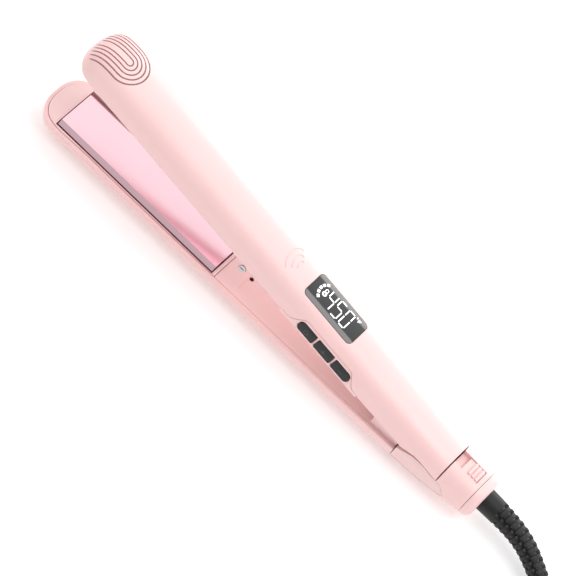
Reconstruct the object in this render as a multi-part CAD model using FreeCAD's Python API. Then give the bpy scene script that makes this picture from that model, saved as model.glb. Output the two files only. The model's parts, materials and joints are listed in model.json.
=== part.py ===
"""Flat iron (hair straightener): two hinged arms with floating heated plates,
display, three buttons, arm lock and a mains lead.  Units are millimetres.

Row frame: +X runs from the tips to the cord, +Z is up and -Y is the button side.
The lower arm lies on z = 0, and the origin is the middle of the flat land that it
rests on.  A "station" is a distance along the closed iron, counted from a little
before the tips, and at() turns it into x.  The upper arm is laid out closed and then
swung open about the pin.
"""

import FreeCAD
import Part
import math
import os

# ------------------------------------------------------------------ dimensions
ORIGIN_STATION = 130.0
PIVOT_STATION = 258.0
IRON_END = 290.0
PIVOT_Z = 15.35
OPEN_ANGLE = 10.4
RIM_GAP = 1.7
SHELL = 1.6
FLOOR = 0.0

# station, half width, height above and depth below the pin's level
ARM_PROFILE = [
    (14.0, 17.2, 14.3, 15.7),
    (30.0, 17.2, 14.3, 15.7),
    (60.0, 17.1, 14.3, 15.7),
    (95.0, 16.9, 14.3, 15.7),
    (130.0, 16.6, 14.2, 15.7),
    (165.0, 16.3, 14.1, 15.7),
    (200.0, 16.1, 14.1, 15.7),
    (225.0, 15.7, 14.1, 15.6),
    (245.0, 15.2, 13.9, 15.0),
    (258.0, 14.8, 13.6, 14.2),
    (272.0, 14.2, 13.0, 13.1),
]
TAIL_PROFILE = [
    (238.0, 15.35, 12.9, 15.2),
    (248.0, 15.1, 12.7, 14.9),
    (258.0, 14.8, 12.4, 14.2),
    (268.0, 14.3, 11.9, 13.4),
    (278.0, 13.7, 11.2, 12.2),
    (285.5, 13.1, 10.5, 11.0),
]
SECTION_POWER = 2.5
TIP_START = 1.6
TIP_RADIUS_PLAN = 12.4
TIP_RADIUS_SIDE = 14.0
TIP_POWER_PLAN = 2.3
TIP_POWER_SIDE = 2.1
TIP_STEPS = 7
END_RADIUS = 4.5
END_STEPS = 6

SHELL_REAR = 266.5
TAIL_SEAM = 242.0
TAIL_FRONT = 267.2
END_SEAM = 284.4
SEAM = 0.25
RIM_SEAM = 0.2
FIT = 0.05

PLATE_START = 15.0
PLATE_END = 119.0
PLATE_HALF_WIDTH = 13.3
PLATE_PROUD = 1.4
PLATE_THICKNESS = 3.8
PLATE_BEVEL_WIDTH = 2.3
PLATE_BEVEL_DEPTH = 1.7
PLATE_END_GAP = 0.7
PLATE_SIDE_GAP = 1.4
PLATE_TRAVEL = 1.0
FRAME_END = 121.5
FRAME_PROUD = 0.3
HEATER = (84.0, 16.0, 2.0)
CLAMP = (92.0, 18.0, 1.0)
CARRIER = (96.0, 15.0, 1.2)
PAD = (7.0, 7.0, 1.5)

PANEL_BOTTOM = 0.3
PANEL_TOP = 8.6
PANEL_SHOULDER = 1.9
PANEL_STATIONS = (155.5, 161.0, 167.5, 200.5, 206.5, 210.5)
PANEL_CORNER = 4.0
BUTTON_LEVEL = 4.6
BUTTON_HEIGHT = 5.2
BUTTON_LENGTH = 11.2
BUTTON_STATIONS = {"power_button": 171.6, "plus_button": 184.1, "minus_button": 196.6}
BUTTON_PROUD = 0.5
BUTTON_GAP = 0.3
BUTTON_ROOM = -10.9

WINDOW_START = 155.5
WINDOW_END = 189.3
WINDOW_HALF_WIDTH = 8.0
WINDOW_RADIUS = 2.4

GROOVE_CENTRE = 19.0
GROOVE_RADII = [2.0, 4.3, 6.6, 8.9, 11.2]
GROOVE_WIDTH = 0.8
GROOVE_DEPTH = 0.35
WAVE_STATIONS = [(137.5, 7.5), (141.0, 5.0), (144.2, 2.8)]
WAVE_WIDTH = 1.1
WAVE_DEPTH = 0.25

CHEEK_INSET = 2.8
CHEEK_THICKNESS = 1.5
LEAF_INSET = 0.1
# side outlines, as stations and levels from the pin
LEAF_FOOT = [(274.0, -3.7), (271.5, -5.3), (262.0, -7.4), (250.0, -8.0), (242.1, -8.0)]
LEAF_TOP = [(242.1, 1.2), (244.8, 2.0), (247.2, 3.05), (250.6, 4.1), (254.5, 4.3),
            (258.5, 4.0), (262.0, 3.1), (264.6, 2.5), (268.4, 2.4), (270.4, 1.3)]
LIP_TOP = [(242.1, 5.2), (248.0, 6.2), (258.0, 6.2), (265.0, 4.4), (268.4, 2.4), (270.4, 1.3)]
SHELL_ARCH = [(243.0, 0.0), (243.0, 1.7), (245.0, 2.5), (247.2, 3.5), (250.6, 4.5), (254.0, 4.75),
              (258.2, 4.6), (264.4, 4.15), (272.0, 4.3), (272.0, 0.0)]
PIN_RADIUS = 2.0
PIN_HALF_LENGTH = 11.4

COVER_REAR = 242.3
GUARD_START = 224.5
GUARD_TOP = 4.0
GUARD_ROOM = 8.8
BRACKET_START = 244.5
BRACKET_TOP = 12.3
LUG_INNER = 3.8
LUG_OUTER = 7.6
WASHER = 1.5

SPRING_STATION = 232.4
SPRING_RADIUS = 3.6
SPRING_WIRE = 0.8
SPRING_TURNS = 6
SPRING_FOOT = -8.0
SPRING_TOP = 7.0

DISH_STATION = 133.5
DISH_RADIUS = 11.0
SCREW_HOLES = [(127.9, 2.1), (134.9, 1.2)]

SLOT_END = 282.0
SLOT_HALF_WIDTH = 4.4
SLOT_FLOOR = 8.7
SLIDER_HALF_WIDTH = 4.1
SLIDER_FRONT = 271.8
SLIDER_REAR = 281.6

CORD_DIAMETER = 6.5
RELIEF_ROOT_RADIUS = 6.4
RELIEF_END_RADIUS = 4.7
RELIEF_SECTIONS = 14

# routes: station, y and height above the floor
RELIEF_ROUTE = [(286.0, 0.0, 15.35), (301.0, 0.0, 15.35), (318.0, -1.0, 13.6),
                (334.0, -6.5, 8.9), (344.0, -11.5, 6.4)]
LEAD_ROUTE = [(344.0, -11.5, 6.4), (354.0, -16.5, 3.9), (366.0, -21.0, 3.6),
              (378.0, -24.2, 4.3), (389.0, -25.6, 4.3)]
PLUG_ROUTE = [(380.0, -8.5, 23.9), (386.5, -15.5, 23.9), (395.0, -20.5, 25.0),
              (404.0, -22.6, 27.4)]

HANK_START = 368.0
HANK_LENGTH = 124.0
HANK_WIDTH = 62.0
HANK_HEIGHT = 19.6
HANK_Y = 2.0
HANK_BOTTOM = 1.0
HANK_ROUNDING = 3.0
TIE_STATION = 463.0
TIE_WIDTH = 6.0
TIE_THICKNESS = 1.0

PLUG_Z = 27.6
PLUG_Y = -22.6
PLUG_COLLAR = (404.0, 420.0)
PLUG_BODY = (420.0, 442.0)
PLUG_WIDTH = 24.0
PLUG_HEIGHT = 14.0
BLADE_LENGTH = 17.5
BLADE_WIDTH = 6.35
BLADE_THICKNESS = 1.5
BLADE_SPACING = 12.7

Y_AXIS = FreeCAD.Vector(0, 1, 0)
Z_AXIS = FreeCAD.Vector(0, 0, 1)
PIVOT = FreeCAD.Vector(PIVOT_STATION - ORIGIN_STATION, 0, PIVOT_Z)
BIG = 400.0


# --------------------------------------------------------------------- helpers
def at(station):
    return station - ORIGIN_STATION


def point(station, y, level):
    """A point from its station, y and height above the pin's level."""
    return FreeCAD.Vector(at(station), y, PIVOT_Z + level)


def block(start, end, y_low, y_high, low, high):
    """A box between two stations, with levels counted from the pin."""
    corner = point(start, y_low, low)
    return Part.makeBox(end - start, y_high - y_low, high - low, corner)


def between(start, end):
    return block(start, end, -BIG / 2, BIG / 2, -BIG / 2, BIG / 2)


def fuse_all(shapes):
    return shapes[0].multiFuse(shapes[1:]) if len(shapes) > 1 else shapes[0]


def compound(shapes):
    return Part.makeCompound(shapes)


def swung_open(shape):
    """The closed layout turned to the rest pose."""
    turned = shape.copy()
    turned.rotate(PIVOT, Y_AXIS, OPEN_ANGLE)
    return turned


def swung_back(shape):
    """A shape given in the rest pose, turned to the closed layout."""
    turned = shape.copy()
    turned.rotate(PIVOT, Y_AXIS, -OPEN_ANGLE)
    return turned


def save(name, shape):
    shape.exportStep("parts/" + name + ".step")


def rounding(distance, radius, power):
    """How far a rounded end has grown at a distance from its tip."""
    if distance >= radius:
        return 1.0
    return (1 - (1 - distance / radius) ** power) ** (1 / power)


def half_curve(station, half_width, height, side):
    """Half a superellipse from +y to -y, above (side 1) or below (side -1)."""
    points = []
    count = 12
    for step in range(count + 1):
        angle = math.pi * step / count
        across = math.copysign(abs(math.cos(angle)) ** (2 / SECTION_POWER), math.cos(angle))
        up = abs(math.sin(angle)) ** (2 / SECTION_POWER)
        points.append(point(station, half_width * across, side * height * up))
    steps = [step / count for step in range(count + 1)]
    curve = Part.BSplineCurve()
    curve.interpolate(Points=points, Parameters=steps)
    return curve.toShape()


def section(station, half_width, height, depth):
    top = half_curve(station, half_width, height, 1)
    bottom = half_curve(station, half_width, depth, -1)
    return Part.Wire([top, bottom])


def arm_body(inset):
    """The closed iron's outer form from the tips to the shells' rear, less an inset."""
    half_width, height, depth = ARM_PROFILE[0][1:]
    rows = []
    for step in range(TIP_STEPS):
        angle = math.radians(10 + 80 * step / TIP_STEPS)
        distance = TIP_RADIUS_PLAN * (1 - math.cos(angle) ** (2 / TIP_POWER_PLAN))
        plan = math.sin(angle) ** (2 / TIP_POWER_PLAN)
        side = rounding(distance, TIP_RADIUS_SIDE, TIP_POWER_SIDE)
        rows.append((TIP_START + distance + inset, (half_width - inset) * plan,
                     (height - inset) * side, (depth - inset) * side))
    for station, half_width, height, depth in ARM_PROFILE:
        rows.append((station, half_width - inset, height - inset, depth - inset))
    return Part.makeLoft([section(*row) for row in rows], True, False, False, 2)


def tail_body(inset):
    """The tail's outer form, rounded at the cord's end, less an inset."""
    rows = []
    for station, half_width, height, depth in TAIL_PROFILE:
        rows.append((station, half_width - inset, height - inset, depth - inset))
    half_width, height, depth = rows[-1][1:]
    for step in range(1, END_STEPS):
        angle = math.radians(90 * step / (END_STEPS + 0.2))
        along = IRON_END - END_RADIUS * (1 - math.sin(angle)) - inset
        less = END_RADIUS * (1 - math.cos(angle))
        rows.append((along, half_width - less, height - less, depth - less))
    return Part.makeLoft([section(*row) for row in rows], True, False, False, 2)


def side_prism(outline, y_low, y_high, radius):
    """A side outline (station, level) extruded along Y, its corners above the rim rounded."""
    points = [point(station, y_low, level) for station, level in outline]
    face = Part.Face(Part.makePolygon(points + points[:1]))
    prism = face.extrude(FreeCAD.Vector(0, y_high - y_low, 0))
    inner = points[2:-2]
    corners = [e for e in prism.Edges if abs(e.tangentAt(e.FirstParameter).y) > 0.9
               and any(abs(e.CenterOfMass.x - p.x) + abs(e.CenterOfMass.z - p.z) < 0.1
                       for p in inner)]
    return prism.makeFillet(radius, corners)


def side_area(outline):
    """A side outline (station, level) extruded right through the iron along Y."""
    points = [point(station, -30, level) for station, level in outline]
    face = Part.Face(Part.makePolygon(points + points[:1]))
    return face.extrude(FreeCAD.Vector(0, 60, 0))


def grown(outline, amount):
    """A side outline moved outward by an amount all round."""
    wire = Part.makePolygon([point(station, 0, level) for station, level in outline + outline[:1]])
    vertices = wire.makeOffset2D(amount, 2).OrderedVertexes
    return [(v.Point.x + ORIGIN_STATION, v.Point.z - PIVOT_Z) for v in vertices]


def cylinder(start, direction, radius, length):
    return Part.makeCylinder(radius, length, start, direction)


def rounded_block(start, end, y_low, y_high, low, high, radius):
    """A box with its upright edges rounded."""
    box = block(start, end, y_low, y_high, low, high)
    uprights = [e for e in box.Edges if abs(e.tangentAt(e.FirstParameter).z) > 0.9]
    return box.makeFillet(radius, uprights)


# ------------------------------------------------------------- the shared forms
OUTER = arm_body(0.0)
INNER = arm_body(SHELL)
INSIDE_SHELL = arm_body(SHELL + RIM_SEAM)
CHEEK_OUTER = arm_body(CHEEK_INSET)
CHEEK_INNER = arm_body(CHEEK_INSET + CHEEK_THICKNESS)
TAIL_OUTER = tail_body(0.0)
TAIL_INNER = tail_body(2.0)
ABOVE_RIM = block(-20, 400, -60, 60, RIM_GAP, 60)
BELOW_RIM = block(-20, 400, -60, 60, -60, -RIM_GAP)
ABOVE_FLOOR = Part.makeBox(900, 200, 200, FreeCAD.Vector(-400, -100, FLOOR))


def skin(depth):
    """The arms' outermost layer, from the surface down to a depth."""
    return OUTER.cut(arm_body(depth))


# ----------------------------------------------------------------- plate stacks
def stack_block(size, start_depth, side, centre=(PLATE_START + PLATE_END) / 2):
    """A flat piece of a plate stack: side 1 is the upper arm, -1 the lower."""
    length, width, thickness = size
    near = side * (RIM_GAP + start_depth)
    far = side * (RIM_GAP + start_depth + thickness)
    return block(centre - length / 2, centre + length / 2, -width / 2, width / 2,
                 min(near, far), max(near, far))


def hot_plate(side):
    """A floating plate whose long edges slope down into the frame."""
    top = side * (RIM_GAP - PLATE_PROUD)
    edge = side * (RIM_GAP - PLATE_PROUD + PLATE_BEVEL_DEPTH)
    back = side * (RIM_GAP - PLATE_PROUD + PLATE_THICKNESS)
    flat = PLATE_HALF_WIDTH - PLATE_BEVEL_WIDTH
    outline = [(-PLATE_HALF_WIDTH, back), (-PLATE_HALF_WIDTH, edge), (-flat, top),
               (flat, top), (PLATE_HALF_WIDTH, edge), (PLATE_HALF_WIDTH, back)]
    points = [point(PLATE_START, y, level) for y, level in outline]
    face = Part.Face(Part.makePolygon(points + points[:1]))
    return face.extrude(FreeCAD.Vector(PLATE_END - PLATE_START, 0, 0))


def plate_frame(side):
    """The ring around a plate, a little proud of the shell's rim."""
    low, high = sorted((side * (RIM_GAP - FRAME_PROUD), side * (RIM_GAP + 2.0)))
    slab = INSIDE_SHELL.common(block(-5, FRAME_END, -30, 30, low, high))
    half_width = PLATE_HALF_WIDTH + PLATE_SIDE_GAP
    window = block(PLATE_START - PLATE_END_GAP, PLATE_END + PLATE_END_GAP,
                   -half_width, half_width, -30, 30)
    return slab.cut(window)


def plate_stack(side):
    """Every piece of one arm's heating stack, in the closed layout."""
    back = PLATE_THICKNESS - PLATE_PROUD
    heater_back = back + HEATER[2]
    clamp_back = heater_back + CLAMP[2]
    pad_start = clamp_back + PLATE_TRAVEL + 0.3
    centre = (PLATE_START + PLATE_END) / 2
    pads = []
    for offset in (-36.0, -12.0, 12.0, 36.0):
        pads.append(stack_block(PAD, pad_start, side, centre=centre + offset))
    return {
        "plate_frame": plate_frame(side),
        "plate": hot_plate(side),
        "heater": stack_block(HEATER, back, side),
        "heater_clamp": stack_block(CLAMP, heater_back, side),
        "plate_pads": compound(pads),
        "plate_carrier": stack_block(CARRIER, pad_start + PAD[2], side),
    }


def screw(station, y, side, depth):
    """A pan-head screw set flush into an inner cover."""
    top = side * RIM_GAP
    start = point(station, y, top + side * 0.4)
    direction = FreeCAD.Vector(0, 0, side)
    head = cylinder(start, direction, 1.9, 1.4)
    shank = cylinder(start, direction, 1.0, depth)
    slot = block(station - 1.3, station + 1.3, y - 0.3, y + 0.3, top - 0.9, top + 0.9)
    return head.fuse(shank).cut(slot)


# ------------------------------------------------------------------- lower arm
def lower_outer_shell():
    shell = OUTER.cut(INNER).common(BELOW_RIM).common(ABOVE_FLOOR)
    return shell.common(between(-20, TAIL_SEAM - 0.5))


def lower_inner_cover():
    """The cover behind the plate, with a dish, screw holes and two upright guards."""
    plate = INSIDE_SHELL.common(block(FRAME_END + 0.3, TAIL_SEAM - 0.8, -30, 30,
                                      -RIM_GAP - 1.8, -RIM_GAP))
    dish = cylinder(point(DISH_STATION, 0, -RIM_GAP), Z_AXIS, DISH_RADIUS, 3)
    dish.translate(FreeCAD.Vector(0, 0, -0.9))
    half = block(DISH_STATION - 20, DISH_STATION, -30, 30, -30, 30)
    plate = plate.cut(dish.cut(half))
    for station, radius in SCREW_HOLES:
        plate = plate.cut(cylinder(point(station, 0, -RIM_GAP - 3), Z_AXIS, radius, 5))
    spring_hole = cylinder(point(SPRING_STATION, 0, -RIM_GAP - 3), Z_AXIS, SPRING_RADIUS + 0.8, 5)
    plate = plate.cut(spring_hole)
    wall = CHEEK_OUTER.cut(CHEEK_INNER)
    guards = wall.common(block(GUARD_START, TAIL_SEAM - 0.8, -30, 30, -RIM_GAP - 1.8, GUARD_TOP))
    return plate.fuse(guards).removeSplitter()


def lower_spring_seat():
    """A cup under the inner cover that holds the opening spring's foot."""
    height = -RIM_GAP - 1.8 - (SPRING_FOOT - 1.2)
    cup = cylinder(point(SPRING_STATION, 0, SPRING_FOOT - 1.2), Z_AXIS, SPRING_RADIUS + 2.0,
                   height)
    bore = cylinder(point(SPRING_STATION, 0, SPRING_FOOT), Z_AXIS, SPRING_RADIUS + 0.5, 9)
    return cup.cut(bore)


def opening_spring():
    """A compression coil that pushes the arms apart."""
    rise = SPRING_TOP - SPRING_FOOT - SPRING_WIRE
    helix = Part.makeHelix(rise / SPRING_TURNS, rise, SPRING_RADIUS - SPRING_WIRE / 2)
    radius = SPRING_RADIUS - SPRING_WIRE / 2
    circle = Part.Circle(FreeCAD.Vector(radius, 0, 0), Y_AXIS, SPRING_WIRE / 2)
    wire = Part.Wire([circle.toShape()])
    coil = Part.Wire(helix.Edges).makePipeShell([wire], True, True)
    coil.translate(point(SPRING_STATION, 0, SPRING_FOOT + SPRING_WIRE / 2))
    return coil


# ------------------------------------------------------------------------ tail
def tail_housing():
    """The rear block and the half-round floor under the hinge."""
    hollow = TAIL_OUTER.cut(TAIL_INNER).common(ABOVE_FLOOR).common(between(TAIL_SEAM, END_SEAM))
    open_top = block(TAIL_SEAM - 5, TAIL_FRONT, -30, 30, -RIM_GAP, 30)
    slot = block(TAIL_FRONT - 3, SLOT_END, -SLOT_HALF_WIDTH, SLOT_HALF_WIDTH, 0, 30)
    recess = side_area(grown(LEAF_TOP + LEAF_FOOT, SEAM))
    body = hollow.cut(open_top).cut(slot).cut(recess)
    floor = slot_floor()
    cheeks = hinge_cheek(-1).fuse(hinge_cheek(1))
    bulkhead = TAIL_INNER.common(block(TAIL_FRONT + 0.5, TAIL_FRONT + 2.0, -30, 30, -30, 3.0))
    lead_hole = block(TAIL_FRONT, TAIL_FRONT + 3, -5, 5, -6, 1)
    bulkhead = bulkhead.cut(lead_hole).cut(cheeks)
    return body.fuse(floor).fuse(bulkhead).removeSplitter()


def slot_floor():
    """The sunken tray that the lock slides in."""
    tray = block(TAIL_FRONT, SLOT_END + 1.2, -SLOT_HALF_WIDTH - 1.3, SLOT_HALF_WIDTH + 1.3,
                 SLOT_FLOOR - 1.2, 30).common(TAIL_OUTER)
    return tray.cut(block(TAIL_FRONT - 1, SLOT_END, -SLOT_HALF_WIDTH, SLOT_HALF_WIDTH,
                          SLOT_FLOOR, 30))


def hinge_cheek(side):
    """A leaf-shaped side cover, flush with the tail, that carries one end of the hinge pin.

    Its top continues as a sunken lip that the upper shell passes over.
    """
    leaf = tail_body(LEAF_INSET).cut(CHEEK_INNER).common(side_area(LEAF_TOP + LEAF_FOOT))
    lip = CHEEK_OUTER.cut(CHEEK_INNER).common(side_area(LIP_TOP + LEAF_FOOT))
    half = block(200, 300, 0, 30, -30, 30) if side > 0 else block(200, 300, -30, 0, -30, 30)
    cheek = leaf.fuse(lip).common(half)
    boss = cylinder(point(PIVOT_STATION, side * 9.4, 0), FreeCAD.Vector(0, side, 0), 4.2, 3.2)
    bore = cylinder(point(PIVOT_STATION, 0, 0), FreeCAD.Vector(0, side, 0), PIN_RADIUS,
                    PIN_HALF_LENGTH)
    room = cylinder(point(PIVOT_STATION, 0, 0), FreeCAD.Vector(0, side, 0), 4.9, 9.4)
    return cheek.fuse(boss).cut(room).cut(bore).removeSplitter()


def hinge_pin():
    start = point(PIVOT_STATION, -PIN_HALF_LENGTH, 0)
    return cylinder(start, Y_AXIS, PIN_RADIUS, 2 * PIN_HALF_LENGTH)


def hinge_washers():
    rings = []
    for start in (-LUG_OUTER - 0.1 - WASHER, LUG_OUTER + 0.1):
        ring = cylinder(point(PIVOT_STATION, start, 0), Y_AXIS, 4.0, WASHER)
        rings.append(ring.cut(cylinder(point(PIVOT_STATION, start - 1, 0), Y_AXIS,
                                       PIN_RADIUS + FIT, 3)))
    return compound(rings)


def lock_slider():
    """A ribbed thumb piece with a tongue that runs forward under the tail's roof."""
    thumb = tail_body(0.5).common(block(SLIDER_FRONT, SLIDER_REAR, -SLIDER_HALF_WIDTH,
                                        SLIDER_HALF_WIDTH, SLOT_FLOOR + 0.3, 30))
    low_part = block(SLIDER_FRONT - 1, SLIDER_FRONT + 3.4, -30, 30, SLOT_FLOOR + 2.0, 30)
    thumb = thumb.cut(low_part)
    ribs = []
    for number in range(3):
        start = SLIDER_FRONT + 3.7 + 2.2 * number
        ribs.append(tail_body(-0.5).common(block(start, start + 1.2, -SLIDER_HALF_WIDTH + 0.4,
                                                 SLIDER_HALF_WIDTH - 0.4, SLOT_FLOOR + 1, 30)))
    return thumb.multiFuse(ribs).removeSplitter()


def end_cap():
    cap = TAIL_OUTER.common(between(END_SEAM + SEAM, IRON_END + 5))
    hollow = TAIL_INNER.common(between(END_SEAM - 5, IRON_END - 2.2))
    bore = cylinder(point(END_SEAM - 5, 0, 0), FreeCAD.Vector(1, 0, 0), RELIEF_ROOT_RADIUS, 20)
    return cap.cut(hollow).cut(bore)


def lead_bush():
    """The collar that grips the lead inside the end cap."""
    start = point(END_SEAM - 6, 0, 0)
    collar = cylinder(start, FreeCAD.Vector(1, 0, 0), RELIEF_ROOT_RADIUS + 0.6, 5.0)
    bore = cylinder(start, FreeCAD.Vector(1, 0, 0), CORD_DIAMETER / 2, 6.0)
    return collar.cut(bore)


# ------------------------------------------------------------------- upper arm
def panel_prism(grow):
    """The side area that the button panel fills, seen from the side."""
    first, foot, shoulder, fall, heel, last = PANEL_STATIONS
    top = PANEL_TOP + grow
    ledge = PANEL_SHOULDER + grow
    outline = [(first - grow, PANEL_BOTTOM), (first - grow, ledge), (foot - grow, ledge),
               (shoulder - grow, top), (fall + grow, top), (heel + grow, ledge),
               (last + grow, ledge), (last + grow, PANEL_BOTTOM)]
    return side_prism(outline, -30, 0, PANEL_CORNER)


def button_prism(name, grow):
    """A button's outline seen from its side, with the strip's outer ends round."""
    centre = BUTTON_STATIONS[name]
    half_length = BUTTON_LENGTH / 2 + grow
    half_height = BUTTON_HEIGHT / 2 + grow
    box = block(centre - half_length, centre + half_length, -30, 0,
                BUTTON_LEVEL - half_height, BUTTON_LEVEL + half_height)
    for edge_at, outer in ((-half_length, name == "power_button"),
                           (half_length, name == "minus_button")):
        radius = half_height - 0.3 if outer else 0.8
        edges = [e for e in box.Edges if abs(e.tangentAt(e.FirstParameter).y) > 0.9
                 and abs(e.CenterOfMass.x - at(centre + edge_at)) < 0.1]
        box = box.makeFillet(radius, edges)
    return box


def window_prism(grow):
    return rounded_block(WINDOW_START - grow, WINDOW_END + grow, -WINDOW_HALF_WIDTH - grow,
                         WINDOW_HALF_WIDTH + grow, 5, 40, WINDOW_RADIUS + grow)


def groove_prisms():
    """Nested U channels over the tip."""
    prisms = []
    for radius in GROOVE_RADII:
        outer = cylinder(point(GROOVE_CENTRE, 0, 0), Z_AXIS, radius + GROOVE_WIDTH / 2, 30)
        inner = cylinder(point(GROOVE_CENTRE, 0, 0), Z_AXIS, radius - GROOVE_WIDTH / 2, 30)
        ring = outer.cut(inner).common(between(GROOVE_CENTRE, GROOVE_CENTRE + 30))
        prisms.append(ring)
        for side in (-1, 1):
            low, high = sorted((side * (radius - GROOVE_WIDTH / 2),
                                side * (radius + GROOVE_WIDTH / 2)))
            prisms.append(block(-5, GROOVE_CENTRE, low, high, RIM_GAP + 4.5, 30))
    return prisms


def wave_prisms():
    """Three shallow arcs that shrink towards the display."""
    prisms = []
    for station, half_span in WAVE_STATIONS:
        radius = half_span * 1.25
        centre = point(station + radius, 0, 0)
        outer = cylinder(centre, Z_AXIS, radius + WAVE_WIDTH / 2, 30)
        inner = cylinder(centre, Z_AXIS, radius - WAVE_WIDTH / 2, 30)
        clip = block(station - 3, station + radius * 0.4, -half_span, half_span, 0, 40)
        prisms.append(outer.cut(inner).common(clip))
    return prisms


def upper_outer_shell():
    rear = swung_back(between(SHELL_REAR, SHELL_REAR + 40))
    shell = OUTER.cut(INNER).common(ABOVE_RIM).cut(rear).cut(side_area(SHELL_ARCH))
    shell = shell.cut(panel_prism(SEAM)).cut(window_prism(SEAM))
    shell = shell.cut(skin(GROOVE_DEPTH).common(compound(groove_prisms())))
    return shell.cut(skin(WAVE_DEPTH).common(compound(wave_prisms())))


def button_panel():
    wall = OUTER.cut(INNER).common(panel_prism(0.0))
    for name in BUTTON_STATIONS:
        wall = wall.cut(button_prism(name, BUTTON_GAP))
    return wall


def button(name):
    pad = arm_body(-BUTTON_PROUD).cut(arm_body(SHELL + 0.5)).common(button_prism(name, 0.0))
    stem = cylinder(point(BUTTON_STATIONS[name], -14.2, BUTTON_LEVEL), Y_AXIS, 1.2, 2.6)
    return pad.fuse(stem)


def button_switches():
    """Three tact switches on a small upright board behind the buttons."""
    pieces = [block(163.0, 205.0, -8.4, -7.4, RIM_GAP + 2.1, RIM_GAP + 7.5)]
    for station in BUTTON_STATIONS.values():
        pieces.append(block(station - 3, station + 3, -10.4, -8.4, BUTTON_LEVEL - 0.8,
                            BUTTON_LEVEL + 2.2))
    return fuse_all(pieces)


def upper_inner_cover():
    plate = INSIDE_SHELL.common(block(FRAME_END + 0.3, COVER_REAR, -30, 30,
                                      RIM_GAP, RIM_GAP + 1.8))
    for station, radius in SCREW_HOLES[:1]:
        plate = plate.cut(cylinder(point(station, 0, RIM_GAP - 1), Z_AXIS, radius, 5))
    plate = plate.cut(block(161.0, 207.0, -30, BUTTON_ROOM, -30, 30))
    for side in (-1, 1):
        low, high = sorted((side * GUARD_ROOM, side * 30))
        plate = plate.cut(block(GUARD_START - 1.5, 260, low, high, -30, 30))
    cup = cylinder(point(SPRING_STATION, 0, RIM_GAP), Z_AXIS, SPRING_RADIUS + 2.8, 3.6)
    bore = cylinder(point(SPRING_STATION, 0, -5), Z_AXIS, SPRING_RADIUS + 1.6, RIM_GAP + 7.4)
    return plate.fuse(cup).cut(bore).removeSplitter()


def upper_hinge_bracket():
    """Two lugs on a saddle that hangs from the crown and turns on the pin."""
    pieces = []
    for start in (-LUG_OUTER, LUG_INNER):
        pieces.append(cylinder(point(PIVOT_STATION, start, 0), Y_AXIS, 4.6, LUG_OUTER - LUG_INNER))
        pieces.append(block(PIVOT_STATION - 4.6, PIVOT_STATION + 4.6, start,
                            start + LUG_OUTER - LUG_INNER,
                            0, BRACKET_TOP))
    pieces.append(block(BRACKET_START, PIVOT_STATION + 4.6, -LUG_OUTER, LUG_OUTER,
                        BRACKET_TOP - 2.0, BRACKET_TOP))
    body = fuse_all(pieces).common(arm_body(SHELL + 0.05))
    bore = cylinder(point(PIVOT_STATION, -20, 0), Y_AXIS, PIN_RADIUS + FIT, 40)
    return body.cut(bore).removeSplitter()


def display_window():
    glass = OUTER.cut(arm_body(1.1)).common(window_prism(0.0))
    return glass.common(ABOVE_RIM)


def display_module():
    return block(WINDOW_START + 1.5, WINDOW_END - 1.5, -7.4, 7.4, 8.6, 11.6)


def control_board():
    board = block(149.0, 214.0, -6.9, 10.5, 6.2, 7.4)
    chip = block(199.0, 207.0, -3.0, 5.0, 7.4, 8.6)
    relay = block(150.5, 154.0, -6.0, 6.0, 7.4, 9.6)
    return fuse_all([board, chip, relay])


# ------------------------------------------------------------------------ lead
def rounded_path(route):
    """Straight runs joined by tangent arcs: its wire, length and smallest radius."""
    edges = []
    start = route[0]
    radii = []
    for before, corner, after in zip(route, route[1:], route[2:]):
        into = (corner - before).normalize()
        away = (after - corner).normalize()
        turn = into.getAngle(away)
        shorter = min((corner - before).Length, (after - corner).Length)
        reach = 0.45 * shorter
        radius = reach / math.tan(turn / 2)
        radii.append(radius)
        first = corner - into * reach
        last = corner + away * reach
        bisector = (away - into).normalize()
        middle = corner + bisector * (radius / math.cos(turn / 2) - radius)
        edges.append(Part.LineSegment(start, first).toShape())
        edges.append(Part.Arc(first, middle, last).toShape())
        start = last
    edges.append(Part.LineSegment(start, route[-1]).toShape())
    wire = Part.Wire(edges)
    return wire, wire.Length, radii


def tube(route, diameter):
    """The lead along a route, reported with its radii, length and volume."""
    wire, length, radii = rounded_path(route)
    start_direction = (route[1] - route[0]).normalize()
    circle = Part.Circle(route[0], start_direction, diameter / 2).toShape()
    solid = wire.makePipeShell([Part.Wire([circle])], True, False, 1)
    ideal = math.pi * diameter ** 2 / 4 * length
    print("tube: length %.1f, volume ratio %.4f" % (length, solid.Volume / ideal))
    print("radii:", [round(radius, 1) for radius in radii])
    return solid


def vector(station, y, height):
    """A point from its station, y and height above the floor."""
    return FreeCAD.Vector(at(station), y, height)


def strain_relief():
    """A tapered sleeve that droops with the lead."""
    curve = Part.BSplineCurve()
    curve.buildFromPoles([vector(*place) for place in RELIEF_ROUTE], False, 3)
    circles = []
    for step in range(RELIEF_SECTIONS + 1):
        part = step / RELIEF_SECTIONS
        radius = RELIEF_ROOT_RADIUS + part * (RELIEF_END_RADIUS - RELIEF_ROOT_RADIUS)
        circle = Part.Circle(curve.value(part), curve.tangent(part)[0], radius)
        circles.append(Part.Wire([circle.toShape()]))
    return Part.makeLoft(circles, True, False, False, 3)


def lead_tube(route):
    return tube([vector(*place) for place in route], CORD_DIAMETER)


def stadium(grow, bottom, height):
    """The hank's plan outline, raised from a height."""
    radius = HANK_WIDTH / 2 + grow
    first = at(HANK_START) + HANK_WIDTH / 2
    last = at(HANK_START) + HANK_LENGTH - HANK_WIDTH / 2
    box = Part.makeBox(last - first, 2 * radius, height,
                       FreeCAD.Vector(first, HANK_Y - radius, bottom))
    ends = [Part.makeCylinder(radius, height, FreeCAD.Vector(x, HANK_Y, bottom))
            for x in (first, last)]
    return box.multiFuse(ends).removeSplitter()


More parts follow.
